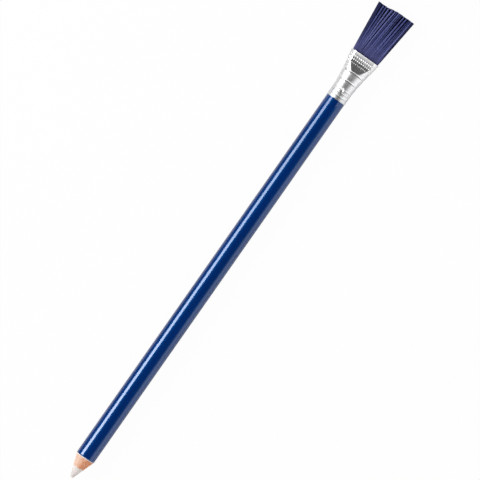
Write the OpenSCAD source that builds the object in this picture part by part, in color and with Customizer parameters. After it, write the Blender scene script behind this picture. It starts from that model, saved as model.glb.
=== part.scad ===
// Eraser pencil with a brush: a wood-cased eraser core, sharpened at one end, and a flat
// brush in a crimped aluminium ferrule at the other. It lies along X on the plane Z = 0,
// with the eraser's tip towards -X and the brush's width along Y.

/* [Point] */
// Length of the sharpened point, from the eraser's tip to the lacquer's edge
point_l = 9.1; // [7:0.1:16]
// Radius that wear leaves on the eraser's tip
tip_r = 0.75; // [0.3:0.05:0.9]
// Diameter of the eraser core
core_d = 4.2; // [3:0.1:5]

/* [Barrel] */
// Diameter over the lacquer
barrel_d = 7.5; // [6.8:0.1:9]
// Length of the lacquered barrel, from the point to the ferrule
barrel_l = 158; // [60:0.1:180]
// Thickness of the blue lacquer
lacquer_t = 0.1; // [0.06:0.01:0.2]
// Thickness of the pale ground coat under the lacquer
ground_t = 0.09; // [0.04:0.01:0.15]

/* [Ferrule] */
// Length of the ferrule
ferrule_l = 18.7; // [17.5:0.1:26]
// Wall of the ferrule
ferrule_wall = 0.3; // [0.2:0.05:0.4]
// Length of the casing's turned-down end inside the ferrule
seat_l = 6.5; // [5.6:0.1:8]
// Width of the pressed mouth
mouth_w = 11.8; // [9.5:0.1:14]
// Thickness of the pressed mouth, behind its flared lip
mouth_t = 4.4; // [3:0.1:5.5]
// How far the lip flares out on each side of the mouth
lip_flare = 0.4; // [0:0.05:0.5]
// Distance from the ferrule's lower edge to where the pressed facets start
press_from = 10.6; // [9:0.1:12]
// Distance from the ferrule's lower edge to its first ring groove
groove_first = 4.2; // [2.5:0.1:4.6]
// Distance from one ring groove to the next
groove_pitch = 3.6; // [2.8:0.1:4]
// Width of a ring groove
groove_w = 0.8; // [0.3:0.05:1]
// Depth of a ring groove
groove_depth = 0.12; // [0.05:0.01:0.18]
// How far the press bows the ring grooves towards the mouth
groove_bow = 0.3; // [0:0.1:1]
// Round tube left past the first groove, before the ferrule widens
tube_past_groove = 1.2; // [1.1:0.1:2]

/* [Crimp dimples] */
// Distance from the ferrule's lower edge to the dimples
dimple_at = 3.9; // [2.5:0.1:4.2]
// Radius of the punch that makes a dimple
dimple_r = 1.2; // [0.8:0.1:1.4]
// Depth of a dimple
dimple_depth = 0.4; // [0.2:0.05:0.45]
// Number of dimples around the ferrule
dimple_n = 2; // [1:1:4]

/* [Knurl] */
// Rows of pips rolled round the ferrule behind its lip
row_n = 3; // [1:1:3]
// Distance from the mouth to the nearest row of pips
row_from_mouth = 1.6; // [1.2:0.1:2]
// Distance from one row of pips to the next
row_pitch = 1.27; // [0.9:0.01:1.3]
// Length of a pip
pip_l = 0.6; // [0.3:0.05:0.8]
// Height of a pip
pip_h = 0.12; // [0.05:0.01:0.2]
// Pips in a row, all the way round
pip_n = 32; // [24:4:40]

/* [Brush] */
// Free length of the longest bristles, from the mouth to their ends
tuft_l = 20.2; // [10:0.1:30]
// Width of the tuft at its ends
tuft_w = 15.5; // [11:0.1:20]
// Thickness of the tuft at its ends
tuft_t = 4.6; // [2.6:0.1:6]
// Most that a bristle falls short of the longest ones
trim = 0.9; // [0:0.1:2]
// Thickness of one bristle
bristle_d = 0.14; // [0.08:0.01:0.15]
// Bristles across the width
bristle_cols = 40; // [38:1:44]
// Bristles across the thickness
bristle_rows = 8; // [7:1:9]
// Depth of the bristles' glued roots below the mouth
root_depth = 3.2; // [2.6:0.1:4]
// Thickness of the glued slice that joins the roots
slice_t = 1; // [0.5:0.1:2]
// Length of the resin plug behind the slice
plug_l = 4.5; // [2:0.1:5]

/* [Fits] */
// Gap between the casing's turned-down end and the ferrule
seat_gap = 0.02; // [0.01:0.01:0.05]
// Gap between the ferrule's wall and what is glued into it
glue_gap = 0.05; // [0.02:0.01:0.08]

/* [Hidden] */
$fn = 96;

// Lengths along the pencil, counted from the eraser's tip
shoulder_z = point_l + barrel_l;
casing_end_z = shoulder_z + seat_l;
mouth_z = shoulder_z + ferrule_l;
overall_l = mouth_z + tuft_l;

// Radii of the layers
barrel_r = barrel_d / 2;
core_r = core_d / 2;
ground_r = barrel_r - lacquer_t;
wood_r = ground_r - ground_t;
bore_r = barrel_r - ferrule_wall;
seat_r = bore_r - seat_gap;

// The point is a cone that leaves the rounded tip at a tangent and meets the lacquer's edge
tip_to_edge = norm([barrel_r, point_l - tip_r]);
cone_angle = acos(tip_r / tip_to_edge) - atan2(point_l - tip_r, barrel_r);
function cone_z(r) = point_l - (barrel_r - r) / tan(cone_angle);

// Lengths along the ferrule, counted from its lower edge
tube_l = groove_first + tube_past_groove;
root_z = ferrule_l - root_depth;
slice_z = root_z - slice_t;
groove_n = 3;
first_row_z = ferrule_l - row_from_mouth - (row_n - 1) * row_pitch;
lip_z = ferrule_l - row_from_mouth + pip_l / 2;
edge_chamfer = 0.08;
widen_power = 1.15;
skin_n = 2 * pip_n;
weld = 0.3;
weld_inset = ferrule_wall / 4;

// Numbers between 0 and 1
function held(t) = min(1, max(0, t));
function eased(t) = t * t * (3 - 2 * t);
function mix(a, b, t) = a + (b - a) * t;

// How far the ferrule has gone from round to its mouth's width and thickness at height z
function widening(z) = pow(held((z - tube_l) / (ferrule_l - tube_l)), widen_power);
function flattening(z) = eased(held((z - press_from) / (lip_z - press_from)));
function bow(z) = groove_bow * sin(180 * held((z - tube_l) / (first_row_z - tube_l)));

// How far the lip stands out past the pressed facets at height z
function lip(z) = lip_flare * held((z - lip_z) / (ferrule_l - lip_z));

// The turns of points that lie evenly along the mouth's outline: round its ends, along its flats
corner_turn = asin(mouth_t / barrel_d);
flat_half = mouth_w / 2 * cos(corner_turn);
end_l = norm([mouth_w / 2 - flat_half, mouth_t / 2]);
function quarter_turn(part) =
    let (run = part * (end_l + flat_half))
    run < end_l ? corner_turn * run / end_l : acos((end_l + flat_half - run) / (mouth_w / 2));
function mouth_turn(q) =
    let (quarter = floor(4 * q), part = 4 * q - quarter)
    quarter % 2 == 0 ? 90 * quarter + quarter_turn(part) : 90 * (quarter + 1) - quarter_turn(1 - part);

// A point of the ferrule's skin at share q of the way round and height z, set in by inset: on an
// oval that widens towards the mouth, cut off on both sides by the pressed facets
function skin_point(q, z, inset) =
    let (turn = mix(360 * q, mouth_turn(q), widening(z)),
         facet = half_thickness(z, inset) + lip(z),
         y = (barrel_r - inset) * sin(turn))
    [half_width(z, inset) * cos(turn), min(facet, max(-facet, y)), z - bow(z) * pow(cos(turn), 2)];
function half_width(z, inset) = mix(barrel_r, mouth_w / 2, widening(z)) - inset;
function half_thickness(z, inset) = mix(barrel_r, mouth_t / 2, flattening(z)) - inset;
function skin_ring(z, inset) = [for (k = [0 : skin_n - 1]) skin_point(k / skin_n, z, inset)];

// A row of pips: every other point of the ring stands proud
function pip_ring(z) =
    [for (k = [0 : skin_n - 1]) skin_point(k / skin_n, z, k % 2 == 0 ? -pip_h : 0)];

// Triangles between two rings of n points that start at points a and b
function band(a, b, n) =
    [for (k = [0 : n - 1]) let (m = (k + 1) % n)
        each [[a + k, b + k, b + m], [a + k, b + m, a + m]]];

// A tube whose skin passes through all the rings and back to the first
module closed_loft(rings) {
    n = len(rings[0]);
    m = len(rings);
    polyhedron(points = [for (ring = rings) each ring],
               faces = [for (i = [0 : m - 1]) each band(i * n, ((i + 1) % m) * n, n)]);
}

// A solid whose skin passes through all the rings, closed round a middle point at each end
module capped_loft(rings, low_z, high_z) {
    n = len(rings[0]);
    last = (len(rings) - 1) * n;
    middle = len(rings) * n;
    polyhedron(
        points = concat([for (ring = rings) each ring], [[0, 0, low_z], [0, 0, high_z]]),
        faces = concat(
            [for (i = [0 : len(rings) - 2]) each band(i * n, (i + 1) * n, n)],
            [for (k = [0 : n - 1]) [middle, k, (k + 1) % n]],
            [for (k = [0 : n - 1]) [middle + 1, last + (k + 1) % n, last + k]]));
}

// Lays a piece drawn upright, tip at the origin, down along X with its lowest line on Z = 0
module lie_down() {
    translate([-overall_l / 2, 0, barrel_r]) rotate([90, 0, 90]) children();
}

// Places a piece drawn from the ferrule's lower edge
module on_shoulder() {
    translate([0, 0, shoulder_z]) children();
}

module eraser_core() {
    arc_steps = 8;
    tip_arc = [for (i = [0 : arc_steps]) let (turn = -90 + i * (90 - cone_angle) / arc_steps)
        [tip_r * cos(turn), tip_r + tip_r * sin(turn)]];
    color("whitesmoke") lie_down() rotate_extrude()
        polygon(concat(tip_arc, [[core_r, cone_z(core_r)], [core_r, casing_end_z],
                                 [0, casing_end_z]]));
}

// One of the two grooved slats that are glued round the core
module casing_half(turn) {
    color("burlywood") lie_down() difference() {
        rotate([0, 0, turn]) rotate_extrude(angle = 180)
            polygon([[core_r, cone_z(core_r)], [wood_r, cone_z(wood_r)], [wood_r, shoulder_z],
                     [seat_r, shoulder_z], [seat_r, casing_end_z], [core_r, casing_end_z]]);
        on_shoulder() dimple_balls(dimple_r + ferrule_wall + seat_gap);
    }
}

module casing_half_top() {
    casing_half(0);
}

module casing_half_bottom() {
    casing_half(180);
}

// A coat on the barrel, cut back along the point's cone
module coat(inner_r, outer_r) {
    lie_down() rotate_extrude()
        polygon([[inner_r, cone_z(inner_r)], [outer_r, cone_z(outer_r)],
                 [outer_r, shoulder_z], [inner_r, shoulder_z]]);
}

module ground_coat() {
    color("linen") coat(wood_r, ground_r);
}

module lacquer_coat() {
    color("midnightblue") coat(ground_r, barrel_r);
}

// The punch's balls, of radius r, where they press the dimples beside the first groove
module dimple_balls(r) {
    for (i = [0 : dimple_n - 1])
        rotate([0, 0, 90 + i * 360 / dimple_n])
            translate([barrel_r - dimple_depth + dimple_r, 0, dimple_at]) sphere(r = r);
}

// The ferrule's round end: a true tube with the first groove and a chamfered lower edge
module ferrule_tube() {
    groove_r = barrel_r - groove_depth;
    rotate_extrude()
        polygon([[bore_r, 0], [barrel_r - edge_chamfer, 0], [barrel_r, edge_chamfer],
                 [barrel_r, groove_first - groove_w / 2], [groove_r, groove_first],
                 [barrel_r, groove_first + groove_w / 2], [barrel_r, tube_l], [bore_r, tube_l]]);
}

// Where a plain stretch of the widening skin starts and stops: it runs from the tube or a groove
// to the next groove or the first row of pips
function groove_z(i) = groove_first + i * groove_pitch;
function plain_start(i) = i == 0 ? tube_l + weld : groove_z(i) + groove_w / 2;
function plain_stop(i) =
    i == groove_n - 1 ? first_row_z - pip_l / 2 : groove_z(i + 1) - groove_w / 2;
function plain_rings(i, steps) =
    [for (k = [0 : steps]) skin_ring(mix(plain_start(i), plain_stop(i), k / steps), 0)];

// The ferrule from its round tube to its flat mouth, with the other grooves and the pips
module ferrule_flare() {
    plain_steps = 3;
    inner_steps = 12;
    start_z = tube_l - weld;
    lower = [for (i = [0 : groove_n - 2]) each
        concat(plain_rings(i, plain_steps), [skin_ring(groove_z(i + 1), groove_depth)])];
    knurled = [for (i = [0 : row_n - 1]) let (z = first_row_z + i * row_pitch) each
        concat(i == 0 ? [] : [skin_ring(z - pip_l / 2, 0)],
               [pip_ring(z), skin_ring(z + pip_l / 2, 0)])];
    mouth = [skin_ring(ferrule_l - edge_chamfer, 0), skin_ring(ferrule_l, edge_chamfer)];
    inner = [skin_ring(ferrule_l, ferrule_wall), for (i = [inner_steps : -1 : 0])
        skin_ring(mix(seat_l, lip_z, i / inner_steps), ferrule_wall)];
    foot = [for (z = [start_z, tube_l + weld / 2]) skin_ring(z, weld_inset)];
    closed_loft(concat(foot, lower,
                       plain_rings(groove_n - 1, plain_steps), knurled, mouth, inner,
                       [skin_ring(start_z, ferrule_wall - weld_inset)]));
}

module ferrule() {
    color("silver") lie_down() on_shoulder() {
        difference() {
            union() {
                ferrule_tube();
                intersection() {
                    dimple_balls(dimple_r + ferrule_wall);
                    translate([0, 0, edge_chamfer])
                        cylinder(r = bore_r + ferrule_wall / 2, h = tube_l - 2 * edge_chamfer);
                }
            }
            dimple_balls(dimple_r);
        }
        ferrule_flare();
    }
}

module resin_plug() {
    steps = 5;
    low_z = slice_z - plug_l;
    color("wheat") lie_down() on_shoulder()
        capped_loft([for (i = [0 : steps])
            skin_ring(mix(low_z, slice_z, i / steps), ferrule_wall + glue_gap)], low_z, slice_z);
}

// Half the tuft's width and thickness at a height z above the ferrule's lower edge, counted to
// the edges of the outermost bristles' cells, and the half height of the oval that rounds its ends
function tuft_half(z) =
    let (inset = ferrule_wall + glue_gap,
         inside_z = min(z, ferrule_l),
         inside = [half_width(inside_z, inset), half_thickness(inside_z, inset), barrel_r - inset],
         ends = [(tuft_w - bristle_d) / 2 / (1 - 1 / bristle_cols),
                 (tuft_t - bristle_d) / 2 / (1 - 1 / bristle_rows), tuft_w / 2])
    mix(inside, ends, held((z - ferrule_l) / tuft_l));

// A place in the tuft at height z: u and v run from -1 to 1 over its width and thickness, and
// the square that they span is drawn into an oval with flat sides, as the ferrule's mouth is
function tuft_point(u, v, z) =
    let (half = tuft_half(z), y = v * half[1])
    [u * half[0] * sqrt(1 - pow(y / half[2], 2)), y, z];

// All the bristles, three-sided and fanned so that none crosses another, on their glued slice
module bristle_tuft() {
    cols = bristle_cols;
    rows = bristle_rows;
    corner_n = (cols + 1) * (rows + 1);
    levels = 3;
    drift = 0.15;
    shifts = rands(-drift, drift, 2 * cols * rows, 7);
    shorts = rands(0, trim, cols * rows, 11);

    function corner(i, j) = i * (rows + 1) + j;
    function strand(i, j) = corner_n + (i * rows + j) * 3 * levels;
    function at_side(i) = i == 0 || i == cols - 1;
    function level_z(i, j, level) =
        level == 0 ? root_z :
        level == 1 ? ferrule_l :
        ferrule_l + tuft_l - (at_side(i) ? 0 : shorts[i * rows + j]);
    function centre(i, j, level) =
        let (n = i * rows + j,
             u = (2 * i + 1) / cols - 1 + (at_side(i) ? 0 : shifts[2 * n] / cols),
             v = (2 * j + 1) / rows - 1 + shifts[2 * n + 1] / rows)
        tuft_point(u, v, level_z(i, j, level));
    function strand_points(i, j) =
        [for (level = [0 : levels - 1], turn = [90, 210, 330])
            centre(i, j, level) + bristle_d / 2 * [cos(turn), sin(turn), 0]];

    // The slice's top round the foot of one bristle, split into triangles
    function cell_faces(i, j) =
        let (a = corner(i, j), b = corner(i + 1, j), c = corner(i + 1, j + 1),
             d = corner(i, j + 1), s = strand(i, j))
        [[b, a, s + 2], [s + 2, a, s + 1], [c, b, s + 2], [s, c, s + 2],
         [d, c, s], [a, d, s + 1], [s + 1, d, s]];
    function strand_faces(i, j) =
        let (s = strand(i, j), top = s + 3 * (levels - 1))
        concat([for (level = [0 : levels - 2]) each band(s + 3 * level, s + 3 * level + 3, 3)],
               [[top + 2, top + 1, top]]);

    rim = concat([for (i = [0 : cols - 1]) corner(i, 0)],
                 [for (j = [0 : rows - 1]) corner(cols, j)],
                 [for (i = [cols : -1 : 1]) corner(i, rows)],
                 [for (j = [rows : -1 : 1]) corner(0, j)]);
    rim_n = len(rim);
    foot = corner_n + cols * rows * 3 * levels;
    top_points = [for (i = [0 : cols], j = [0 : rows])
        tuft_point(2 * i / cols - 1, 2 * j / rows - 1, root_z)];
    strands = [for (i = [0 : cols - 1], j = [0 : rows - 1]) each strand_points(i, j)];
    foot_points = [for (k = rim) let (i = floor(k / (rows + 1)), j = k % (rows + 1))
        tuft_point(2 * i / cols - 1, 2 * j / rows - 1, slice_z)];

    color("darkslateblue") lie_down() on_shoulder()
        polyhedron(
            points = concat(top_points, strands, foot_points, [[0, 0, slice_z]]),
            faces = concat(
                [for (i = [0 : cols - 1], j = [0 : rows - 1]) each cell_faces(i, j)],
                [for (i = [0 : cols - 1], j = [0 : rows - 1]) each strand_faces(i, j)],
                [for (k = [0 : rim_n - 1]) let (m = (k + 1) % rim_n) each
                    [[foot + k, rim[k], rim[m]], [foot + k, rim[m], foot + m]]],
                [for (k = [0 : rim_n - 1]) [foot + rim_n, foot + k, foot + (k + 1) % rim_n]]));
}

eraser_core();
casing_half_top();
casing_half_bottom();
ground_coat();
lacquer_coat();
ferrule();
resin_plug();
bristle_tuft();
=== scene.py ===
"""Looks of the eraser pencil: fine shapes, finishes, bristles, light and camera round the frame.

The pencil lies along X on the plane Z = 0, with the eraser's tip towards -X and the brush's width
along Y. All lengths are metres, and MM turns millimetres into them.
"""

import logging
import math
from dataclasses import dataclass
from enum import Enum
from typing import Any, Callable

import bmesh
import bpy
import numpy as np
from bpy.types import ID, Material, Node, NodeSocket, NodeTree, Object
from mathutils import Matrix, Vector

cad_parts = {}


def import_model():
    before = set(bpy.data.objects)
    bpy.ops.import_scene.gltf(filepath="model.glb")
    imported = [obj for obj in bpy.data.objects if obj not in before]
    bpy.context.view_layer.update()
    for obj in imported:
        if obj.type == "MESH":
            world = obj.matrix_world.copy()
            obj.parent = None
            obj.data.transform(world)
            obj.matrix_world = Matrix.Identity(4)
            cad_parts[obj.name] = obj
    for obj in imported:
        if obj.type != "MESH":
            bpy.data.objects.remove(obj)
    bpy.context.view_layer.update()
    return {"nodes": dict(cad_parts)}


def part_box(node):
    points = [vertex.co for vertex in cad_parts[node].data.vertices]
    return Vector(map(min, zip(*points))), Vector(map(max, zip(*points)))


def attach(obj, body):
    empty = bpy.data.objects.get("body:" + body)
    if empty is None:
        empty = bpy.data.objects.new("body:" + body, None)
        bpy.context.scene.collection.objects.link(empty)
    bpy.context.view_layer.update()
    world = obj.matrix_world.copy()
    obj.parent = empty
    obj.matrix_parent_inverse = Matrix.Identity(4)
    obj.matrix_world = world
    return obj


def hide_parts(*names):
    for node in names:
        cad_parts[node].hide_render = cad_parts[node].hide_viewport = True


MM = 0.001
WELD = 1e-8
WHITE = (1.0, 1.0, 1.0, 1.0)
ROOT = "root"
LOG = logging.getLogger("eraser_pencil")

Colour = tuple[float, float, float]
Pair = tuple[float, float]
Sizes = dict[str, Any]


def held(share: Any) -> Any:
    """Returns a number or array held between 0 and 1."""
    return np.clip(share, 0.0, 1.0)


def eased(share: Any) -> Any:
    """Returns a share from 0 to 1 with a soft start and stop."""
    inside = held(share)
    return inside * inside * (3 - 2 * inside)


def blended(start: Any, stop: Any, share: Any) -> Any:
    """Returns the value at a share of the way from start to stop."""
    return start + (stop - start) * share


def hump(offset: Any, half_width: float) -> Any:
    """Returns a smooth hump of height 1 at offset 0 that ends at half_width on both sides."""
    return (1 - held(np.abs(offset) / half_width) ** 2) ** 2


class Sketch:
    """Adds nodes to a node tree and joins them."""

    def __init__(self, tree: NodeTree) -> None:
        """Starts on a shader or geometry tree."""
        self.tree = tree

    def add(self, kind: str, inputs: dict | None = None, **settings: Any) -> Node:
        """Adds one node.

        Args:
            kind: The node's type.
            inputs: What each input gets, by its name or number: see feed.
            settings: Properties of the node itself.

        Returns:
            The new node.
        """
        node = self.tree.nodes.new(kind)
        for name, value in settings.items():
            setattr(node, name, value)
        for key, value in (inputs or {}).items():
            self.feed(node.inputs[key], value)
        return node

    def feed(self, socket: NodeSocket, value: Any) -> None:
        """Links an input or sets it.

        Args:
            socket: The input.
            value: A Term, a socket, a node for its first output, or a plain value.
        """
        if isinstance(value, Term):
            value = value.socket
        elif isinstance(value, Node):
            value = value.outputs[0]
        if isinstance(value, NodeSocket):
            self.tree.links.new(value, socket)
        else:
            socket.default_value = value

    def number(self, kind: str, inputs: dict | None = None, output: int | str = 0,
               **settings: Any) -> "Term":
        """Adds a node and returns one of its outputs as a number."""
        return Term(self, self.add(kind, inputs, **settings).outputs[output])

    def math(self, operation: str, *values: Any) -> "Term":
        """Returns the result of a Math node on Terms, sockets or numbers."""
        return self.number("ShaderNodeMath", dict(enumerate(values)), operation=operation)

    def span(self, value: Any, low: Any, high: Any, to_low: Any = 0.0, to_high: Any = 1.0,
             smooth: bool = False) -> "Term":
        """Maps a value from low..high to to_low..to_high, softly if smooth, and holds it there."""
        ends = {0: value, 1: low, 2: high, 3: to_low, 4: to_high}
        return self.number("ShaderNodeMapRange", ends,
                           interpolation_type="SMOOTHSTEP" if smooth else "LINEAR")

    def limited(self, value: Any, low: Any, high: Any) -> "Term":
        """Returns a number held between two limits."""
        return self.math("MINIMUM", self.math("MAXIMUM", value, low), high)

    def parts(self, vector: Any) -> list["Term"]:
        """Returns the X, Y and Z of a vector."""
        node = self.add("ShaderNodeSeparateXYZ", {0: vector})
        return [Term(self, socket) for socket in node.outputs]


def formula(operation: str, swapped: bool = False) -> Callable[..., "Term"]:
    """Makes a method that puts a Term and its operands through a Math node.

    Args:
        operation: The Math node's operation.
        swapped: Whether the Term comes last.

    Returns:
        The method.
    """
    def method(term: "Term", *others: Any) -> "Term":
        """Returns the operation's result."""
        return term.sketch.math(operation, *((*others, term) if swapped else (term, *others)))
    return method


@dataclass(frozen=True)
class Term:
    """A number in a node tree, which can be used in a formula."""

    sketch: Sketch
    socket: NodeSocket

    __add__ = __radd__ = formula("ADD")
    __sub__ = formula("SUBTRACT")
    __rsub__ = formula("SUBTRACT", swapped=True)
    __mul__ = __rmul__ = formula("MULTIPLY")
    __truediv__ = formula("DIVIDE")
    __pow__ = formula("POWER")
    floor = formula("FLOOR")
    rounded = formula("ROUND")
    size = formula("ABSOLUTE")


def emptied(owner: Any) -> Sketch:
    """Clears a node tree.

    Args:
        owner: Its material, world or light.

    Returns:
        A sketch on the tree.
    """
    owner.use_nodes = True
    owner.node_tree.nodes.clear()
    return Sketch(owner.node_tree)


class Surface(Sketch):
    """A material in the making, with places on the piece counted in millimetres."""

    def __init__(self, name: str) -> None:
        """Starts a material.

        Args:
            name: The material's name.
        """
        self.material = bpy.data.materials.new(name)
        self.material.use_nodes = True
        super().__init__(self.material.node_tree)
        self.shader = self.tree.nodes["Principled BSDF"]
        self.place = self.add("ShaderNodeTexCoord").outputs["Object"]

    def at(self, axis: str) -> Term:
        """Returns the place along the axis X, Y or Z, in millimetres."""
        return self.parts(self.place)["XYZ".index(axis)] / MM

    def stored(self, name: str) -> Term:
        """Returns the number that is stored on the piece under a name."""
        return self.number("ShaderNodeAttribute", output="Fac", attribute_name=name)

    def noise(self, per_mm: Colour, detail: float = 2.0, seed: float = 0.0) -> Term:
        """Returns noise round 0.5, by its waves in a millimetre along X, Y and Z; seed moves it."""
        moved = self.add("ShaderNodeMapping", {"Vector": self.place, "Location": [seed] * 3,
                                               "Scale": [waves / MM for waves in per_mm]})
        return self.number("ShaderNodeTexNoise",
                           {"Vector": moved, "Scale": 1.0, "Detail": detail}, "Fac")

    def ramp(self, value: Any, stops: list[tuple[float, Colour]]) -> Node:
        """Turns a number into a colour.

        Args:
            value: The number, from 0 to 1.
            stops: Places and the colours there.

        Returns:
            The colour's node.
        """
        node = self.add("ShaderNodeValToRGB", {"Fac": value})
        elements = node.color_ramp.elements
        while len(elements) < len(stops):
            elements.new(0.5)
        for element, (place, colour) in zip(elements, stops):
            element.position = place
            element.color = (*colour, 1.0)
        return node

    def mixed(self, share: Any, first: Any, second: Any) -> NodeSocket:
        """Returns the first colour mixed with a share of the second, each a colour or its node."""
        sides = [(*side, 1.0) if isinstance(side, tuple) else side for side in (first, second)]
        return self.add("ShaderNodeMix", {0: share, 6: sides[0], 7: sides[1]},
                        data_type="RGBA").outputs[2]

    def bump(self, height: Any, depth: float) -> Node:
        """Returns a normal for heights from 0 to 1, which lie a depth in metres apart."""
        return self.add("ShaderNodeBump", {"Height": height, "Distance": depth})

    def finish(self, **sockets: Any) -> Material:
        """Sets the shader's own sockets.

        Args:
            sockets: Values or sockets, by the input's name with _ for a space.

        Returns:
            The finished material.
        """
        for name, value in sockets.items():
            if isinstance(value, tuple) and len(value) == 3:
                value = (*value, 1.0)
            self.feed(self.shader.inputs[name.replace("_", " ")], value)
        return self.material


@dataclass(frozen=True)
class NavyLacquer:
    """Glossy navy lacquer: clear over a softly shining blue."""

    deep: Colour = (0.0002, 0.0185, 0.14)
    light: Colour = (0.0003, 0.0245, 0.174)
    sheen_tint: Colour = (0.02, 0.38, 1.0)

    def material(self) -> Material:
        """Makes the lacquer.

        Returns:
            Its material.
        """
        made = Surface("navy_lacquer")
        cloud = made.noise((0.03, 0.16, 0.16), detail=3.0)
        peel = made.noise((0.06, 0.3, 0.3), detail=1.0, seed=3.0)
        scuff = made.noise((0.12, 9.0, 9.0), detail=3.0, seed=7.0)
        return made.finish(
            Base_Color=made.ramp(cloud, [(0.3, self.deep), (0.7, self.light)]),
            Roughness=made.span(scuff, 0.45, 0.8, 0.34, 0.44),
            IOR=1.55,
            Specular_IOR_Level=0.75,
            Specular_Tint=self.sheen_tint,
            Coat_Weight=1.0,
            Coat_Roughness=0.045,
            Normal=made.bump(peel, 0.001 * MM))


@dataclass(frozen=True)
class PaleGround:
    """Matte pale primer that shows as a line where the point is cut."""

    light: Colour = (0.9, 0.86, 0.8)
    dull: Colour = (0.74, 0.66, 0.57)

    def material(self) -> Material:
        """Makes the primer.

        Returns:
            Its material.
        """
        made = Surface("pale_ground")
        blotch = made.noise((1.6, 1.6, 1.6), detail=3.0)
        return made.finish(
            Base_Color=made.ramp(blotch, [(0.35, self.dull), (0.6, self.light)]),
            Roughness=0.75,
            Normal=made.bump(blotch, 0.01 * MM))


@dataclass(frozen=True)
class CutWood:
    """Bare softwood, cut by a sharpener: long streaks, short pores and the knife's fine steps."""

    pale: Colour = (0.84, 0.57, 0.44)
    tan: Colour = (0.8, 0.44, 0.29)
    streak: Colour = (0.74, 0.29, 0.14)
    pore: Colour = (0.36, 0.15, 0.07)
    # Painted light and shade: how fast the wood's colour shifts across Y, per millimetre
    side_shade_per_mm: float = 0.075

    def material(self) -> Material:
        """Makes the wood.

        Returns:
            Its material.
        """
        made = Surface("cut_wood")
        grain = made.noise((0.1, 0.75, 0.75), detail=4.0, seed=1.3)
        fibre = made.noise((0.5, 6.0, 6.0), detail=2.0, seed=5.0)
        pores = made.noise((1.1, 5.0, 5.0), detail=1.0, seed=9.0)
        # Painted light and shade: the wood turns paler towards +Y, the key light's side, and deeper
        # orange towards -Y
        side_shade = made.at("Y") * self.side_shade_per_mm
        colour = made.ramp(grain * 0.75 + fibre * 0.25 - side_shade,
                           [(0.39, self.pale), (0.5, self.tan), (0.61, self.streak)])
        knife = made.noise((3.2, 0.4, 0.4), detail=1.0, seed=2.0)
        return made.finish(
            Base_Color=made.mixed(made.span(pores, 0.66, 0.76, 0.0, 0.6), colour, self.pore),
            Roughness=made.span(fibre, 0.3, 0.7, 0.55, 0.75),
            Normal=made.bump(fibre * 0.6 + knife * 0.4, 0.03 * MM))


@dataclass(frozen=True)
class WornEraser:
    """Off-white eraser compound, powdery, with a grey smudge where it has been used."""

    tip_x: float
    clean: Colour = (0.83, 0.77, 0.74)
    warm: Colour = (0.77, 0.67, 0.63)
    smudge: Colour = (0.62, 0.59, 0.58)
    smudge_l: float = 3.4

    def material(self) -> Material:
        """Makes the eraser.

        Returns:
            Its material.
        """
        made = Surface("worn_eraser")
        mottle = made.noise((1.2, 1.2, 1.2), detail=4.0)
        crumb = made.noise((7.0, 7.0, 7.0), detail=2.0, seed=4.0)
        smear = made.noise((0.4, 1.5, 1.5), detail=2.0, seed=8.0)
        from_tip = made.at("X") - self.tip_x / MM
        worn = made.span(from_tip, 0.2, self.smudge_l, 1.0, 0.0, smooth=True)
        body = made.ramp(mottle, [(0.3, self.warm), (0.6, self.clean)])
        return made.finish(
            Base_Color=made.mixed(worn * made.span(smear, 0.35, 0.7, 0.15, 0.75), body,
                                  self.smudge),
            Roughness=0.85,
            Normal=made.bump(crumb * 0.5 + mottle * 0.5, 0.04 * MM))


@dataclass(frozen=True)
class RolledAluminium:
    """Bright rolled aluminium with faint drawing lines and handling marks."""

    bright: Colour = (0.9, 0.9, 0.91)
    dull: Colour = (0.8, 0.805, 0.82)

    def material(self) -> Material:
        """Makes the aluminium.

        Returns:
            Its material.
        """
        made = Surface("rolled_aluminium")
        lines = made.noise((0.25, 8.0, 8.0), detail=3.0)
        handled = made.noise((0.5, 0.5, 0.5), detail=3.0, seed=6.0)
        return made.finish(
            Base_Color=made.ramp(handled, [(0.35, self.dull), (0.65, self.bright)]),
            Metallic=1.0,
            Roughness=made.span(lines * 0.6 + handled * 0.4, 0.35, 0.65, 0.37, 0.47),
            Normal=made.bump(lines * 0.3 + handled * 0.7, 0.004 * MM))


@dataclass(frozen=True)
class DyedFilament:
    """Blue-violet plastic filament, each strand a little different, purple and pale at its root;
    the pale root is partly painted light against the shade under the ferrule's lip.
    """

    light: Colour = (0.165, 0.185, 0.45)
    middle: Colour = (0.074, 0.09, 0.28)
    dark: Colour = (0.008, 0.008, 0.06)
    # Partly painted light: paler than the strands, to lift the shade under the ferrule's lip
    root: Colour = (0.108, 0.112, 0.288)

    def material(self) -> Material:
        """Makes the filament.

        Returns:
            Its material.
        """
        made = Surface("dyed_filament")
        # The stored strand colour holds random tone and painted shade: strands inside the tuft and
        # along its edges are darkened
        tint_and_shade, along = made.stored("strand_tint"), made.stored("strand_along")
        strand = made.ramp(tint_and_shade, [(0.1, self.dark), (0.5, self.middle), (0.9, self.light)])
        # Painted light, in part: the root colour is paler to lift the shade that the ferrule's lip
        # casts; its purple tone is the filament's own
        near_root = made.span(along, 0.13, 0.5, 0.9, 0.0, smooth=True)
        return made.finish(
            Base_Color=made.mixed(near_root, strand, self.root),
            Roughness=made.span(tint_and_shade, 0.0, 1.0, 0.5, 0.62),
            Specular_IOR_Level=0.2)


@dataclass(frozen=True)
class AmberResin:
    """Set amber resin with a few bubbles and cloudy streaks."""

    clear: Colour = (0.6, 0.42, 0.18)
    cloudy: Colour = (0.44, 0.27, 0.1)

    def material(self) -> Material:
        """Makes the resin.

        Returns:
            Its material.
        """
        made = Surface("amber_resin")
        cloud = made.noise((0.5, 0.9, 0.9), detail=3.0)
        return made.finish(
            Base_Color=made.ramp(cloud, [(0.35, self.cloudy), (0.65, self.clear)]),
            Roughness=made.span(cloud, 0.3, 0.7, 0.18, 0.34),
            Normal=made.bump(cloud, 0.02 * MM))


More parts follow.
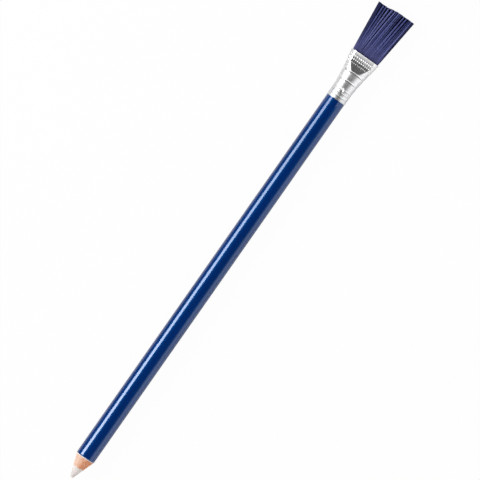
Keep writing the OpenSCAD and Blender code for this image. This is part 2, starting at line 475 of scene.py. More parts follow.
@dataclass(frozen=True)
class Layout:
    """Places along X and radii of the pencil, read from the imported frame."""

    tip_x: float
    wood_x: float
    edge_x: float
    shoulder_x: float
    seat_end_x: float
    mouth_x: float
    end_x: float
    axis_z: float
    core_r: float
    wood_r: float
    ground_r: float
    barrel_r: float
    end_half_w: float

    @classmethod
    def from_frame(cls) -> "Layout":
        """Measures the loaded frame.

        Returns:
            Its layout.
        """
        core_low, core_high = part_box("eraser_core")
        wood_low, wood_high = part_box("casing_half_top")
        lacquer_low, lacquer_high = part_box("lacquer_coat")
        ground_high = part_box("ground_coat")[1]
        tuft_low, tuft_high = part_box("bristle_tuft")
        axis_z = (lacquer_low.z + lacquer_high.z) / 2
        core_r = core_high.z - axis_z
        ground_r = ground_high.z - axis_z
        barrel_r = lacquer_high.z - axis_z
        cone_run = (lacquer_low.x - wood_low.x) / (ground_r - core_r)
        return cls(
            tip_x=core_low.x, wood_x=wood_low.x,
            edge_x=lacquer_low.x + (barrel_r - ground_r) * cone_run,
            shoulder_x=lacquer_high.x, seat_end_x=core_high.x,
            mouth_x=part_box("ferrule")[1].x, end_x=tuft_high.x, axis_z=axis_z,
            core_r=core_r, wood_r=wood_high.z - axis_z, ground_r=ground_r, barrel_r=barrel_r,
            end_half_w=(tuft_high.y - tuft_low.y) / 2)

    def cone_run(self) -> float:
        """Returns how far the point's cone runs along X for each metre of radius."""
        return (self.edge_x - self.wood_x) / (self.barrel_r - self.core_r)

    def turned(self, outline: list[tuple[Any, Any]], angle: np.ndarray) -> np.ndarray:
        """Turns an outline round the pencil's axis.

        Args:
            outline: Places along X and distances from the axis, which may change with the angle.
            angle: Angles from +Y.

        Returns:
            The points, as one ring for each step of the outline.
        """
        steps = [np.broadcast_arrays(*step, angle) for step in outline]
        return np.array([
            np.stack([x, radius * np.cos(turn), self.axis_z + radius * np.sin(turn)], axis=-1)
            for x, radius, turn in steps])


def linked(name: str, data: ID) -> Object:
    """Links a new object to the scene.

    Args:
        name: Its name.
        data: Its mesh, light or camera.

    Returns:
        The object.
    """
    piece = bpy.data.objects.new(name, data)
    bpy.context.collection.objects.link(piece)
    return piece


def loft(name: str, rings: np.ndarray, wrap: bool = False, sharp: float = 40.0,
         marks: dict[str, np.ndarray] | None = None, finish: Material | None = None) -> Object:
    """Makes a closed mesh whose skin runs from ring to ring.

    Args:
        name: The new object's name.
        rings: Points, as rings x points in a ring x 3. Each ring closes on itself.
        wrap: Whether the last ring joins the first. Otherwise both are capped.
        sharp: Edges that bend by more than this angle, in degrees, stay sharp.
        marks: Numbers to keep on the points, by name, as rings x points in a ring.
        finish: Its material.

    Returns:
        The object, linked to the scene.
    """
    ring_n, point_n = rings.shape[:2]
    index = np.arange(ring_n * point_n).reshape(ring_n, point_n)
    low = index if wrap else index[:-1]
    high = np.roll(index, -1, axis=0) if wrap else index[1:]
    corners = [low, np.roll(low, -1, 1), np.roll(high, -1, 1), high]
    faces = np.stack(corners, -1).reshape(-1, 4).tolist()
    if not wrap:
        faces += [index[0, ::-1].tolist(), index[-1].tolist()]
    mesh = bpy.data.meshes.new(name)
    mesh.from_pydata(rings.reshape(-1, 3).tolist(), [], faces)
    for mark, values in (marks or {}).items():
        mesh.attributes.new(mark, "FLOAT", "POINT").data.foreach_set("value", values.ravel())
    shape = bmesh.new()
    shape.from_mesh(mesh)
    bmesh.ops.remove_doubles(shape, verts=shape.verts, dist=WELD)
    if shape.calc_volume(signed=True) < 0:
        bmesh.ops.reverse_faces(shape, faces=shape.faces)
    shape.to_mesh(mesh)
    shape.free()
    mesh.shade_smooth()
    mesh.set_sharp_from_angle(angle=math.radians(sharp))
    if finish:
        mesh.materials.append(finish)
    return linked(name, mesh)


def sizes_of(owner: Any, *names: str) -> Sizes:
    """Returns fields of a sub-assembly by their names in words, such as Row Pitch for row_pitch."""
    return {name.replace("_", " ").title(): getattr(owner, name) for name in names}


class GrowingTree(Sketch):
    """A geometry tree with a named input for each of its sizes and for its material."""

    def __init__(self, name: str, sizes: Sizes) -> None:
        """Starts a tree.

        Args:
            name: The tree's name.
            sizes: What its inputs get, by name, with the piece's material as Material.
        """
        super().__init__(bpy.data.node_groups.new(name, "GeometryNodeTree"))
        self.sizes = sizes
        face = self.tree.interface
        for way in ("INPUT", "OUTPUT"):
            face.new_socket("Geometry", in_out=way, socket_type="NodeSocketGeometry")
        for size, value in sizes.items():
            kind = {float: "Float", int: "Int"}.get(type(value), "Material")
            face.new_socket(size, in_out="INPUT", socket_type="NodeSocket" + kind)
        self.inputs = self.add("NodeGroupInput").outputs

    def size(self, name: str) -> Term:
        """Returns the named input as a number."""
        return Term(self, self.inputs[name])

    def random(self, low: float, high: float, key: Any, seed: int) -> Term:
        """Returns a random number between low and high for each key."""
        return self.number("FunctionNodeRandomValue", {2: low, 3: high, 7: key, 8: seed}, 1)

    def keep(self, geometry: Node, name: str, value: Any, domain: str) -> Node:
        """Stores a number on the geometry under a name and returns the geometry."""
        stored = {"Geometry": geometry, "Name": name, "Value": value}
        return self.add("GeometryNodeStoreNamedAttribute", stored, domain=domain)

    def grown(self, geometry: Node, piece: Object) -> Object:
        """Ends the tree with plain, dressed geometry and keeps that as a piece's plain mesh.

        Args:
            geometry: What the tree has grown.
            piece: The piece that the tree starts from.

        Returns:
            The same piece with its new mesh and no modifier.
        """
        plain = self.add("GeometryNodeRealizeInstances", {"Geometry": geometry})
        finish = {"Geometry": plain, "Material": self.inputs["Material"]}
        dressed = self.add("GeometryNodeSetMaterial", finish)
        self.add("NodeGroupOutput", {"Geometry": dressed})
        modifier = piece.modifiers.new(self.tree.name, "NODES")
        modifier.node_group = self.tree
        for item in self.tree.interface.items_tree:
            if item.in_out == "INPUT" and item.name in self.sizes:
                modifier[item.identifier] = self.sizes[item.name]
        piece.update_tag()
        depsgraph = bpy.context.evaluated_depsgraph_get()
        evaluated = piece.evaluated_get(depsgraph)
        mesh = bpy.data.meshes.new_from_object(evaluated, depsgraph=depsgraph)
        piece.modifiers.remove(modifier)
        piece.data = mesh
        return piece


def fitted(piece: Object, slot: str, *nodes: str) -> None:
    """Puts a finished piece in the place of its nodes.

    Args:
        piece: The finished piece.
        slot: The record's material slot; not used.
        nodes: The nodes that it stands for.
    """
    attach(piece, ROOT)
    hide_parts(*nodes)
    LOG.info("%s: %d faces, for %s", piece.name, len(piece.data.polygons), ", ".join(nodes))


class Half(Enum):
    """The two slats of the casing, by the angle at which each starts."""

    TOP = 0.0
    BOTTOM = math.pi


@dataclass
class PencilBody:
    """The eraser core, the two slats round it and the two coats, cut to a point at one end."""

    layout: Layout
    around: int = 160
    tip_rings: int = 12
    cone_rings: int = 24
    cut_rings: int = 16
    seat_rings: int = 22
    barrel_rings: int = 20
    tip_r: float = 0.75 * MM
    edge_waver: float = 0.1 * MM
    core_waver: float = 0.16 * MM
    ground_waver: float = 0.035 * MM
    coat_bevel: float = 0.03 * MM
    even_from: float = 2 * MM
    seat_r: float = 3.43 * MM
    dent_r: float = 0.95 * MM
    dent_depth: float = 0.4 * MM
    dent_from_shoulder: float = 3.9 * MM
    core_lump: float = 0.02 * MM

    def angles(self) -> np.ndarray:
        """Returns the angles of a full turn, without its end."""
        return np.linspace(0.0, 2 * math.pi, self.around, endpoint=False)

    def waver(self, angle: np.ndarray, phase: float) -> np.ndarray:
        """Returns an uneven wave round the pencil, between about -1 and 1."""
        return (0.5 * np.cos(2 * angle + 0.3 * phase) + 0.3 * np.sin(5 * angle + phase)
                + 0.2 * np.sin(11 * angle + 2 * phase))

    def cut_x(self, radius: Any, angle: np.ndarray) -> np.ndarray:
        """Returns where the point's cut lies along X.

        Args:
            radius: Distance from the axis.
            angle: Angle from +Y.

        Returns:
            The places along X.
        """
        lay = self.layout
        outward = held((radius - lay.core_r) / (lay.barrel_r - lay.core_r))
        drift = blended(self.core_waver * self.waver(angle, 2.6),
                        self.edge_waver * self.waver(angle, 0.7), outward)
        cone_x = lay.edge_x - (lay.barrel_r - radius) * lay.cone_run()
        return cone_x + drift * held(radius / lay.core_r)

    def wood_edge(self, angle: np.ndarray) -> np.ndarray:
        """Returns the wood's outer radius, which wavers under the ground coat."""
        return self.layout.wood_r + self.ground_waver * self.waver(angle, 4.1)

    def eraser(self, finish: Material) -> Object:
        """Makes the eraser core, worn round at its tip.

        Args:
            finish: Its material.

        Returns:
            The core.
        """
        lay = self.layout
        angle = self.angles()
        lean = math.atan(1 / lay.cone_run())
        arc = np.linspace(-math.pi / 2, -lean, self.tip_rings)
        outline = [(lay.tip_x + self.tip_r * (1 + math.sin(turn)), self.tip_r * math.cos(turn))
                   for turn in arc]
        arc_r = self.tip_r * math.cos(lean)
        arc_x = lay.tip_x + self.tip_r * (1 - math.sin(lean))
        for share in np.linspace(0.0, 1.0, self.cone_rings)[1:]:
            lump = self.core_lump * self.waver(angle + 9 * share, 5.0) * math.sin(math.pi * share)
            outline.append((blended(arc_x, self.cut_x(lay.core_r, angle), share),
                            blended(arc_r, lay.core_r, share) - abs(lump)))
        outline.append((lay.seat_end_x, lay.core_r))
        return loft("eraser_rod", lay.turned(outline, angle), finish=finish)

    def slat(self, half: Half, wood: Material) -> Object:
        """Makes one slat of the casing with the cut end, the groove for the core and the seat.

        Args:
            half: Which of the two slats it is.
            wood: The wood's material.

        Returns:
            The slat.
        """
        lay = self.layout
        angle = half.value + np.linspace(0.0, math.pi, self.around // 2 + 1)
        radii = [blended(lay.core_r, self.wood_edge(angle), share)
                 for share in np.linspace(0.0, 1.0, self.cut_rings)]
        outline = [(self.cut_x(radius, angle), radius) for radius in radii]
        outline += [(lay.edge_x + self.even_from, lay.wood_r), (lay.shoulder_x, lay.wood_r)]
        for x in np.linspace(lay.shoulder_x, lay.seat_end_x, self.seat_rings):
            offset = np.hypot(x - lay.shoulder_x - self.dent_from_shoulder,
                              lay.barrel_r * (np.mod(angle, math.pi) - math.pi / 2))
            outline.append((x, self.seat_r - self.dent_depth * hump(offset, self.dent_r)))
        outline.append((lay.seat_end_x, lay.core_r))
        rings = lay.turned(outline, angle).transpose(1, 0, 2)
        return loft(f"slat_{half.name.lower()}", rings, sharp=30.0, finish=wood)

    def coat(self, name: str, inner: Any, outer: float, finish: Material) -> Object:
        """Makes a coat on the barrel, cut back along the point.

        Args:
            name: The coat's name.
            inner: Its inner radius, which may change round the pencil.
            outer: Its outer radius.
            finish: Its material.

        Returns:
            The coat.
        """
        lay = self.layout
        angle = self.angles()
        cut = self.cut_x(outer, angle)
        bevel = self.coat_bevel
        even_x = lay.edge_x + self.even_from
        outline = [(lay.shoulder_x, inner), (even_x, inner), (self.cut_x(inner, angle), inner),
                   (cut - bevel * lay.cone_run(), outer - bevel),
                   (cut + bevel, outer), (cut + 3 * bevel, outer)]
        outline += [(x, outer) for x in np.linspace(even_x, lay.shoulder_x, self.barrel_rings)]
        return loft(name, lay.turned(outline, angle), wrap=True, sharp=30.0, finish=finish)

    def build(self) -> None:
        """Makes and fits all the pieces of the body."""
        lay = self.layout
        wood = CutWood().material()
        fitted(self.eraser(WornEraser(lay.tip_x).material()), "eraser", "eraser_core")
        fitted(self.slat(Half.TOP, wood), "wood", "casing_half_top")
        fitted(self.slat(Half.BOTTOM, wood), "wood", "casing_half_bottom")
        ground = self.coat("primer_coat", self.wood_edge(self.angles()), lay.ground_r,
                           PaleGround().material())
        fitted(ground, "ground_coat", "ground_coat")
        lacquer = self.coat("navy_coat", lay.ground_r, lay.barrel_r, NavyLacquer().material())
        fitted(lacquer, "lacquer", "lacquer_coat")


@dataclass
class CrimpedFerrule:
    """The ferrule: a round tube that is pressed flat and wide towards its mouth."""

    layout: Layout
    wall: float = 0.3 * MM
    tube_half_w: float = 3.88 * MM
    mouth_w: float = 11.8 * MM
    pressed_t: float = 4.74 * MM
    tube_l: float = 4.2 * MM
    press_from: float = 10.5 * MM
    press_to: float = 16.5 * MM
    facet_soft: float = 0.12 * MM
    widen_power: float = 1.5
    bow: float = 0.3 * MM
    groove_first: float = 4.2 * MM
    groove_pitch: float = 3.6 * MM
    groove_n: int = 3
    groove_w: float = 0.8 * MM
    groove_depth: float = 0.05 * MM
    groove_deeper: float = 0.055 * MM
    ring_first: float = 1.5 * MM
    ring_pitch: float = 1.35 * MM
    ring_n: int = 2
    ring_w: float = 0.6 * MM
    ring_depth: float = 0.07 * MM
    lip: float = 0.02 * MM
    dimple_at: float = 3.9 * MM
    dimple_half_l: float = 1.15 * MM
    dimple_half_w: float = 0.75 * MM
    dimple_depth: float = 0.3 * MM
    dimple_lip: float = 0.4
    dimple_reach: float = 1.2
    edge_r: float = 0.1 * MM
    lip_flare: float = 0.44 * MM
    lip_l: float = 3.7 * MM
    pips_in_row: int = 34
    pip_length: float = 0.72 * MM
    pip_height: float = 0.14 * MM
    pip_fill: float = 0.66
    ridge: float = 0.3
    ridge_end: float = 0.3
    rows: int = 3
    last_row: float = 0.7
    row_pitch: float = 1.27 * MM
    row_from_mouth: float = 1.6 * MM
    points_per_pip: int = 12
    edge_rings: int = 4
    skin_rings: int = 60
    dimple_rings: int = 19
    groove_rings: int = 13
    row_rings: int = 9
    inner_rings: int = 28
    least_step: float = 0.02 * MM

    def length(self) -> float:
        """Returns the ferrule's length."""
        return self.layout.mouth_x - self.layout.shoulder_x

    def first_row(self) -> float:
        """Returns the distance from the ferrule's lower edge to its lowest row of pips."""
        return self.length() - self.row_from_mouth - (self.rows - 1) * self.row_pitch

    def turn(self, share: np.ndarray, widening: Any) -> np.ndarray:
        """Returns the angles of the skin's points, even round the tube and along the mouth's edge.

        Args:
            share: Shares of the way round, from the +Y end.
            widening: How far the ferrule has gone from its tube's width to its mouth's.

        Returns:
            The angles from +Y.
        """
        corner = math.asin(self.pressed_t / 2 / self.layout.barrel_r)
        half_w = self.mouth_w / 2
        flat = half_w * math.cos(corner)
        end = math.hypot(half_w - flat, self.pressed_t / 2)
        side = np.floor(4 * share)
        back = np.mod(side, 2)
        run = blended(4 * share - side, side + 1 - 4 * share, back) * (end + flat)
        on_flat = np.arccos(held((end + flat - run) / half_w))
        bent = np.where(run < end, corner * run / end, on_flat)
        even = (side + back) * math.pi / 2 + bent * (1 - 2 * back)
        return blended(2 * math.pi * share, even, widening)

    def skin(self, share: np.ndarray, height: Any, inset: Any) -> np.ndarray:
        """Returns points of the skin: round, wider to the mouth, with a facet pressed on each side.

        Args:
            share: Shares of the way round, from the +Y end.
            height: Distance from the ferrule's lower edge.
            inset: How far inside the outer skin.

        Returns:
            The points in the pencil's frame.
        """
        share, height, inset = np.broadcast_arrays(share, height, inset)
        length = self.length()
        radius = self.layout.barrel_r
        widening = held((height - self.tube_l) / (length - self.tube_l)) ** self.widen_power
        pressing = eased((height - self.press_from) / (self.press_to - self.press_from))
        turn = self.turn(share, widening)
        half_w = blended(self.tube_half_w, self.mouth_w / 2, widening) - inset
        across = half_w * np.cos(turn)
        side = (radius - inset) * np.abs(np.sin(turn))
        facet = blended(radius, self.pressed_t / 2, pressing) - inset
        facet = facet + self.lip_flare * held(1 - (length - height) / self.lip_l) ** 2
        soft = self.facet_soft * held(8 * pressing)
        up = np.maximum(side + facet - np.hypot(side - facet, soft), 0) / 2 * np.sign(np.sin(turn))
        up_bow = held((height - self.tube_l) / (self.first_row() - self.tube_l))
        bowed = self.bow * np.sin(math.pi * up_bow)
        x = self.layout.shoulder_x + height - bowed * (across / half_w) ** 2
        return np.stack([x, across, self.layout.axis_z + up], axis=-1)

    def pressed(self, share: np.ndarray, height: Any) -> np.ndarray:
        """Returns how deep grooves, rings and dimples press the skin in, with their raised lips.

        Args:
            share: Shares of the way round, from the +Y end.
            height: Distance from the ferrule's lower edge.

        Returns:
            The depths.
        """
        share, height = np.broadcast_arrays(share, height)
        depth = np.full(share.shape, self.lip)
        marks = [(self.groove_first + i * self.groove_pitch,
                  self.groove_depth + i * self.groove_deeper, self.groove_w)
                 for i in range(self.groove_n)]
        marks += [(self.ring_first + i * self.ring_pitch, self.ring_depth, self.ring_w)
                  for i in range(self.ring_n)]
        for place, deep, wide in marks:
            depth = depth + (deep + self.lip) * hump(height - place, wide / 2)
            depth = depth - self.lip * hump(height - place, wide)
        for middle in (0.25, 0.75):
            across = 2 * math.pi * self.layout.barrel_r * (share - middle)
            offset = np.hypot((height - self.dimple_at) / self.dimple_half_l,
                              across / self.dimple_half_w)
            depth = depth + self.dimple_depth * hump(offset, 1.0)
            depth = depth - self.lip * hump(offset - 1.0, self.dimple_lip)
        return held(depth / MM) * MM

    def heights(self) -> np.ndarray:
        """Places the outer skin's rings, close together at edges, grooves and pips.

        Returns:
            The rings' heights.
        """
        reach, fine = self.dimple_reach, self.row_rings
        places = [np.linspace(self.edge_r, self.length() - self.edge_r, self.skin_rings),
                  self.dimple_at
                  + np.linspace(-reach, reach, self.dimple_rings) * self.dimple_half_l]
        bands = [(self.groove_first, self.groove_pitch, self.groove_n, self.groove_w,
                  self.groove_rings),
                 (self.ring_first, self.ring_pitch, self.ring_n, self.groove_w, fine),
                 (self.first_row(), self.row_pitch, self.rows, self.pip_length / 2, fine)]
        for first, pitch, count, half, rings in bands:
            places += [first + i * pitch + np.linspace(-1, 1, rings) * half for i in range(count)]
        merged = np.sort(np.concatenate(places))
        return merged[np.diff(merged, prepend=-1.0) > self.least_step]

    def shell(self) -> Object:
        """Makes the ferrule without its pips, with marks on its points for the rows of pips.

        Returns:
            The shell.
        """
        point_n = self.pips_in_row * self.points_per_pip
        share = np.arange(point_n) / point_n
        length = self.length()
        rounded = [(self.edge_r * (1 - math.cos(turn)), self.edge_r * (1 - math.sin(turn)))
                   for turn in np.linspace(0.0, math.pi / 2, self.edge_rings, endpoint=False)]
        rings = [(height, inset, 0.0) for height, inset in rounded]
        rings += [(height, self.pressed(share, height), height) for height in self.heights()]
        rings += [(length - height, inset, length) for height, inset in rounded[::-1]]
        rings += [(height, self.wall + self.pressed(share, height), -length)
                  for height in np.linspace(length, 0.0, self.inner_rings)]
        points = np.array([self.skin(share, height, inset) for height, inset, _ in rings])
        marks = {"around": np.tile(share, (len(rings), 1)),
                 "along": np.repeat([[along] for _, _, along in rings], point_n, axis=1)}
        return loft("crimped_ferrule", points, wrap=True, sharp=60.0, marks=marks)

    def pipped(self, shell: Object) -> Object:
        """Raises the rows of pips out of the shell's skin.

        Args:
            shell: The ferrule without pips.

        Returns:
            The finished ferrule.
        """
        sizes = sizes_of(self, "row_pitch", "rows", "last_row", "pips_in_row", "pip_length",
                         "pip_height", "pip_fill", "ridge", "ridge_end")
        sizes |= {"First Row": self.first_row(), "Material": RolledAluminium().material()}
        grow = GrowingTree("pip_rows", sizes)
        size = grow.size
        along, around = (grow.number("GeometryNodeInputNamedAttribute", {"Name": name})
                         for name in ("along", "around"))
        rows_up = (along - size("First Row")) / size("Row Pitch")
        last = size("Rows") - 1.0
        row = grow.limited(rows_up.rounded(), 0.0, last)
        from_row = (rows_up - row) * size("Row Pitch") / size("Pip Length") * 2.0
        pips_on = around * size("Pips In Row")
        from_pip = (pips_on - pips_on.rounded()) / size("Pip Fill") * 2.0
        apart = grow.math("MINIMUM", from_row * from_row + from_pip * from_pip, 1.0)
        past_rows = rows_up - grow.limited(rows_up, 0.0, last)
        in_rows = grow.span(past_rows.size(), 0.0, size("Ridge End"), 1.0, 0.0, smooth=True)
        ridge = size("Ridge") * in_rows * (1.0 - grow.math("MINIMUM", from_pip * from_pip, 1.0))
        low = grow.span(row, last - 1.0, last, 1.0, size("Last Row"))
        height = size("Pip Height") * low * grow.math("MAXIMUM", 1.0 - apart, ridge)
        normal = grow.add("GeometryNodeInputNormal")
        push = grow.add("ShaderNodeVectorMath", {0: normal, "Scale": height}, operation="SCALE")
        moved = {"Geometry": grow.inputs["Geometry"], "Offset": push}
        return grow.grown(grow.add("GeometryNodeSetPosition", moved), shell)

    def build(self) -> None:
        """Makes and fits the ferrule."""
        fitted(self.pipped(self.shell()), "ferrule", "ferrule")


@dataclass
class FannedBrush:
    """The tuft: hundreds of bristles that fan out of the ferrule's mouth and draw into locks.

    Places across the tuft run from -1 to 1 over its width, and tints from 0, dark, to 1.
    """

    layout: Layout
    columns: int = 42
    rows: int = 12
    layers: int = 3
    shake: float = 0.2
    strand_radius: float = 0.135 * MM
    inner_girth: float = 1.7
    end_thinning: float = 0.3
    sides: int = 6
    points: int = 10
    root_depth: float = 3.2 * MM
    root_half_width: float = 4.95 * MM
    mouth_half_width: float = 5.55 * MM
    mouth_half_thickness: float = 2.2 * MM
    end_half_thickness: float = 2.3 * MM
    end_room: float = 0.2
    trim: float = 0.22 * MM
    skew: float = 0.6 * MM
    skew_from: float = -0.1
    skew_to: float = 0.5
    locks: int = 14
    lock_pull: float = 1.0
    parting: float = 0.45
    parting_end: float = 0.12
    parting_width: float = 0.045
    parting_reach: float = 0.3
    wander: float = 0.12 * MM
    strand_tint: Pair = (0.12, 0.34)
    lock_tint: float = 0.62
    # Painted shade: the share of colour kept by strands inside the tuft, darkened to stand for the
    # shade between the locks
    inner_painted_shade: float = 0.12
    seed: int = 67

    def tuft(self) -> Object:
        """Grows the bristles.

        Returns:
            The tuft.
        """
        lay = self.layout
        sizes = sizes_of(self, "columns", "rows", "layers", "strand_radius", "sides", "points",
                         "root_half_width", "mouth_half_width", "mouth_half_thickness",
                         "end_half_thickness", "trim", "skew", "locks", "lock_pull", "parting",
                         "parting_end", "parting_width", "wander")
        sizes |= {"Strands": self.columns * self.rows, "Axis Z": lay.axis_z,
                  "Root X": lay.mouth_x - self.root_depth, "Mouth X": lay.mouth_x,
                  "End X": lay.end_x - self.end_room * self.strand_radius,
                  "End Half Width": lay.end_half_w, "Material": DyedFilament().material()}
        grow = GrowingTree("bristles", sizes)
        size = grow.size
        line = grow.add("GeometryNodeCurvePrimitiveLine")
        pointed = grow.add("GeometryNodeResampleCurve", {"Curve": line, "Count": size("Points")})
        copies = grow.add("GeometryNodeDuplicateElements",
                          {"Geometry": pointed, "Amount": size("Strands")}, domain="SPLINE")
        strand = Term(grow, copies.outputs["Duplicate Index"])
        step = grow.number("GeometryNodeSplineParameter")

        # Each strand's place in the tuft, from -1 to 1 over the width and the thickness
        column = ((strand + 0.5) / size("Rows")).floor()
        row = strand - column * size("Rows")
        shake = [grow.random(-self.shake, self.shake, strand, self.seed + i) for i in range(2)]
        brick = grow.math("MODULO", row, 2.0) * 0.5 - 0.25
        u = (column + 0.5 + brick + shake[0]) / size("Columns") * 2.0 - 1.0
        v = (row + 0.5 + shake[1]) / size("Rows") * 2.0 - 1.0

        # Neighbouring strands of one layer form a lock, and locks differ in width
        layer = ((v * 0.499 + 0.5) * size("Layers")).floor()
        outer = (layer - (size("Layers") - 1.0) * 0.5).size()
        swell = grow.math("SINE", u * 9.0) * 0.3
        shifted = (u * 0.5 + 0.5) * size("Locks") + swell + layer * 0.25
        lock = shifted.floor()
        lock_u = (shifted - lock - 0.5) * -2.0 / size("Locks")
        key = lock + layer * 100.0
        lock_random = [grow.random(0.0, 1.0, key, self.seed + 3 + i) for i in range(4)]

        # Strands fan out on both sides of a parting, more widely on its +Y side
        part, part_end = size("Parting"), size("Parting End")
        fanned = grow.span(u, -1.0, part, -1.0, part_end)
        fanned = fanned + grow.span(u, part, 1.0, part_end, 1.0) - part_end
        apart = grow.span((u - part).size(), 0.0, self.parting_reach, size("Parting Width"), 0.0)
        apart = grow.math("SIGN", u - part) * apart

        # How far along X each strand ends, and each of its points lies
        short = grow.random(0.0, 1.0, strand, self.seed + 7) ** 2.0 * size("Trim")
        short = short + lock_random[0] * size("Trim")
        short = short + grow.span(fanned, self.skew_from, self.skew_to, 0.0, size("Skew"),
                                  smooth=True)
        x = size("Root X") + (size("End X") - short - size("Root X")) * step
        held_in = grow.span(x, size("Root X"), size("Mouth X"))
        free = grow.span(x, size("Mouth X"), size("End X"))

        # The tuft's half width and half thickness there
        root_w, mouth_w, end_w = (size(f"{at} Half Width") for at in ("Root", "Mouth", "End"))
        mouth_t, end_t = (size(f"{at} Half Thickness") for at in ("Mouth", "End"))
        girth = grow.span(outer, 0.0, 1.0, self.inner_girth, 1.0)
        half_w = root_w + (mouth_w - root_w) * held_in + (end_w - mouth_w) * free
        half_w = half_w - size("Strand Radius") * girth
        half_t = mouth_t + (end_t - mouth_t) * free - size("Strand Radius")

        # Locks of the outer layers draw together towards their ends, least in the tuft's middle
        firm = grow.span(u, -0.3, 0.05, 1.25, 0.5) + grow.span(u, 0.25, 0.6, 0.0, 0.35)
        pull = size("Lock Pull") * free ** 1.1 * outer * firm * (lock_random[1] * 0.5 + 0.5)
        drawn_u = u + (fanned - u) * free + apart * outer * free ** 0.25 + lock_u * pull
        drawn_u = grow.limited(drawn_u, -1.0, 1.0)
        edge_u = drawn_u.size() ** 8.0
        round_v = 1.0 - (1.0 - v * v * 0.5) ** 0.5
        y = drawn_u * (half_w - half_t * round_v * edge_u)
        z = v * half_t * (1.0 - drawn_u * drawn_u * 0.5) ** 0.5

        # Strands and locks stray a little from their straight way
        bend = free ** 2.0 * size("Wander")
        stray = grow.random(-0.4, 0.4, strand, self.seed + 8) + lock_random[2] * 2.0 - 1.0
        y = y + bend * stray * (1.0 - edge_u)
        z = z + bend * (lock_random[3] - 0.5) * (1.0 - v.size() ** 4.0)
        place = grow.add("ShaderNodeCombineXYZ", {"X": x, "Y": y, "Z": z + size("Axis Z")})
        placed = grow.add("GeometryNodeSetPosition", {"Geometry": copies, "Position": place})

        # Painted shade darkens the strands inside the tuft and along its edges; the others differ
        # lock by lock
        tint_and_shade = grow.random(*self.strand_tint, strand, self.seed + 9)
        tint_and_shade = tint_and_shade + lock_random[0] * self.lock_tint
        # Painted shade: the outermost strands are darkened, to 0.2 on the -Y edge and to 0.4 on the
        # +Y edge
        edge = grow.span(u, -0.95, -0.88, 0.2, 1.0) * grow.span(u, 0.7, 0.95, 1.0, 0.4)
        tint_and_shade = tint_and_shade * edge * grow.span(outer, 0.0, 1.0, self.inner_painted_shade, 1.0)
        # Stored as strand_tint: random tone together with the painted shade
        marked = grow.keep(placed, "strand_tint", tint_and_shade, "CURVE")
        marked = grow.keep(marked, "strand_along", step, "POINT")
        ring = grow.add("GeometryNodeCurvePrimitiveCircle",
                        {"Resolution": size("Sides"), "Radius": size("Strand Radius")})
        taper = girth - grow.span(step, 0.25, 1.0, 0.0, self.end_thinning)
        tubes = {"Curve": marked, "Profile Curve": ring, "Scale": taper, "Fill Caps": True}
        start = linked("bristles", bpy.data.meshes.new("bristles"))
        return grow.grown(grow.add("GeometryNodeCurveToMesh", tubes), start)

    def build(self) -> None:
        """Makes and fits the tuft."""
        tuft = self.tuft()
        tuft.data.shade_smooth()
        tuft.data.set_sharp_from_angle(angle=math.radians(60))
        fitted(tuft, "bristles", "bristle_tuft")


@dataclass(frozen=True)
class SoftLight:
    """A rectangular light that faces the pencil's axis.

    It leans by degrees from straight above towards +Y, its reach is its distance from the axis,
    and fade says how bright it is at its end by the tip and at its other end.
    """

    name: str
    x: float
    reach: float
    lean: float
    length: float
    width: float
    watts: float
    fade: Pair = (1.0, 1.0)

    def build(self, axis_z: float) -> None:
        """Makes the light.

        Args:
            axis_z: The height of the pencil's axis.
        """
        light = bpy.data.lights.new(self.name, "AREA")
        light.shape = "RECTANGLE"
        light.size, light.size_y = self.length, self.width
        light.energy = self.watts
        draw = emptied(light)
        along = draw.parts(draw.add("ShaderNodeNewGeometry").outputs["Parametric"])[0]
        glow = draw.add("ShaderNodeEmission", {"Strength": draw.span(along, 0.0, 1.0, *self.fade)})
        draw.add("ShaderNodeOutputLight", {"Surface": glow})
        lean = math.radians(self.lean)
        lamp = linked(self.name, light)
        lamp.location = (self.x, self.reach * math.sin(lean), axis_z + self.reach * math.cos(lean))
        lamp.rotation_euler = (-lean, 0.0, 0.0)


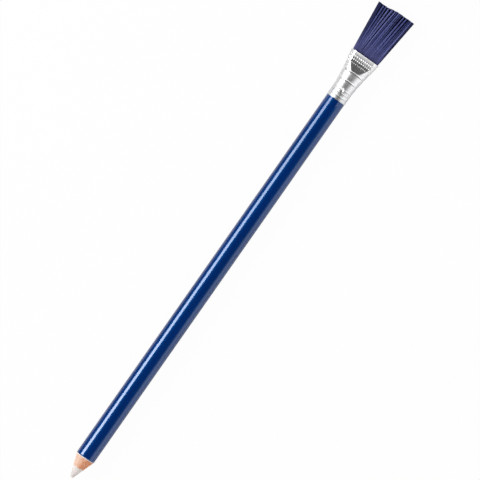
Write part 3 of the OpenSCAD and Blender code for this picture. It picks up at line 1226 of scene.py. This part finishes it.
@dataclass
class Studio:
    """White floor, pale surroundings, a soft key light, a card by the ferrule and a camera above.

    The dark_ and flag_ fields shape what the gloss mirrors: a dark ceiling, and a dark flag on the
    floor and in the world on the +Y side, which ends by the ferrule.
    """

    layout: Layout
    floor_half: float = 3.0
    floor_white: float = 0.9
    shadow_seen: float = 0.03
    shadow_mirrored: float = 0.85
    dark_middle: float = 0.28
    dark_along: float = 0.75
    dark_across: float = 1.02
    dark_edge: Pair = (0.82, 1.05)
    dark_level: float = 0.012
    flag_low: Pair = (12 * MM, 28.8 * MM)
    flag_high: Pair = (0.72, 0.84)
    flag_end: Pair = (59 * MM, 63 * MM)
    flag_lean: float = 0.03
    sky_right: float = 1.45
    sky_left: float = 1.2
    lights: tuple[SoftLight, ...] = (
        SoftLight("key", x=0.0, reach=0.7, lean=54.0, length=0.32, width=0.34, watts=3.85,
                  fade=(1.3, 0.45)),
        SoftLight("card", x=84 * MM, reach=0.12, lean=-50.0, length=38 * MM, width=44 * MM,
                  watts=0.008))
    axis_turn: float = math.radians(55.02)
    camera_height: float = 2.2
    view_w: float = 173.9 * MM
    aim_x: float = 2.53 * MM
    aim_y: float = -0.77 * MM

    def floor(self) -> None:
        """Makes the floor: white to the camera, with the object's shadow, and flagged in gloss."""
        half = self.floor_half
        corners = [(-half, -half, 0), (half, -half, 0), (half, half, 0), (-half, half, 0)]
        mesh = bpy.data.meshes.new("floor")
        mesh.from_pydata(corners, [], [(0, 1, 2, 3)])
        material = bpy.data.materials.new("white_floor")
        draw = emptied(material)
        ray = draw.add("ShaderNodeLightPath").outputs
        white = (self.floor_white,) * 3 + (1.0,)
        matte = draw.add("ShaderNodeBsdfDiffuse", {"Color": white})
        glow, dark = (draw.add("ShaderNodeEmission", {"Color": WHITE, "Strength": level})
                      for level in (1.0, self.dark_level))
        mirrored = draw.math("MAXIMUM", ray["Is Glossy Ray"], ray["Is Transmission Ray"])
        seen = draw.math("MAXIMUM", ray["Is Camera Ray"], mirrored)
        share = draw.span(ray["Is Camera Ray"], 0.0, 1.0, self.shadow_mirrored, self.shadow_seen)
        x, y, _ = draw.parts(draw.add("ShaderNodeTexCoord").outputs["Object"])
        beside = draw.span(x - y * self.flag_lean, *self.flag_end, 1.0, 0.0)
        flag = draw.span(y, *self.flag_low) * beside * mirrored
        shown = draw.add("ShaderNodeMixShader", {0: share, 1: glow, 2: matte})
        shown = draw.add("ShaderNodeMixShader", {0: flag, 1: shown, 2: dark})
        mixed = draw.add("ShaderNodeMixShader", {0: seen, 1: matte, 2: shown})
        draw.add("ShaderNodeOutputMaterial", {"Surface": mixed})
        mesh.materials.append(material)
        floor = linked("floor", mesh)

    def surroundings(self) -> None:
        """Makes the world: white, with a dark ceiling and a dark flag behind the key light."""
        world = bpy.data.worlds.new("studio")
        bpy.context.scene.world = world
        draw = emptied(world)
        ray = draw.add("ShaderNodeLightPath").outputs
        x, y, _ = draw.parts(draw.add("ShaderNodeTexCoord").outputs["Generated"])
        far = ((x - self.dark_middle) / self.dark_along) ** 2.0 + (y / self.dark_across) ** 2.0
        ceiling = draw.span(far ** 0.5, *self.dark_edge, self.dark_level, 1.0, smooth=True)
        flag = draw.span(y, *self.flag_high, 1.0, self.dark_level, smooth=True)
        sky = draw.math("MINIMUM", ceiling, flag)
        lit = sky * draw.span(y, -1.0, 1.0, self.sky_right, self.sky_left)
        plain = draw.math("MAXIMUM", ray["Is Camera Ray"], ray["Is Transmission Ray"])
        level = draw.math("MAXIMUM", plain, lit)
        back = draw.add("ShaderNodeBackground", {"Color": WHITE, "Strength": level})
        draw.add("ShaderNodeOutputWorld", {"Surface": back})

    def camera(self) -> None:
        """Makes the camera, straight above, turned so that the pencil runs up to the right."""
        lens = bpy.data.cameras.new("camera")
        lens.sensor_width = 36.0
        lens.lens = lens.sensor_width * (self.camera_height - self.layout.axis_z) / self.view_w
        lens.clip_end = 100.0
        camera = linked("camera", lens)
        camera.location = (self.aim_x, self.aim_y, self.camera_height)
        camera.rotation_euler = (0.0, 0.0, -self.axis_turn)
        bpy.context.scene.camera = camera

    def build(self) -> None:
        """Makes the whole studio."""
        self.camera()
        self.floor()
        self.surroundings()
        for light in self.lights:
            light.build(self.layout.axis_z)
        bpy.context.scene.view_settings.view_transform = "Standard"


def dress_plug(nodes: dict[str, Object]) -> None:
    """Gives the resin plug, which keeps its own shape, its finish.

    Args:
        nodes: The frame's nodes, by name.
    """
    plug = nodes["resin_plug"].data
    plug.materials.clear()
    plug.materials.append(AmberResin().material())
    LOG.info("resin_plug: %d faces, its own", len(plug.polygons))


def main() -> None:
    """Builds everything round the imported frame."""
    logging.basicConfig(level=logging.INFO, format="%(name)s: %(message)s")
    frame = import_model()
    layout = Layout.from_frame()
    Studio(layout).build()
    PencilBody(layout).build()
    CrimpedFerrule(layout).build()
    FannedBrush(layout).build()
    dress_plug(frame["nodes"])


if __name__ == "__main__":
    main()
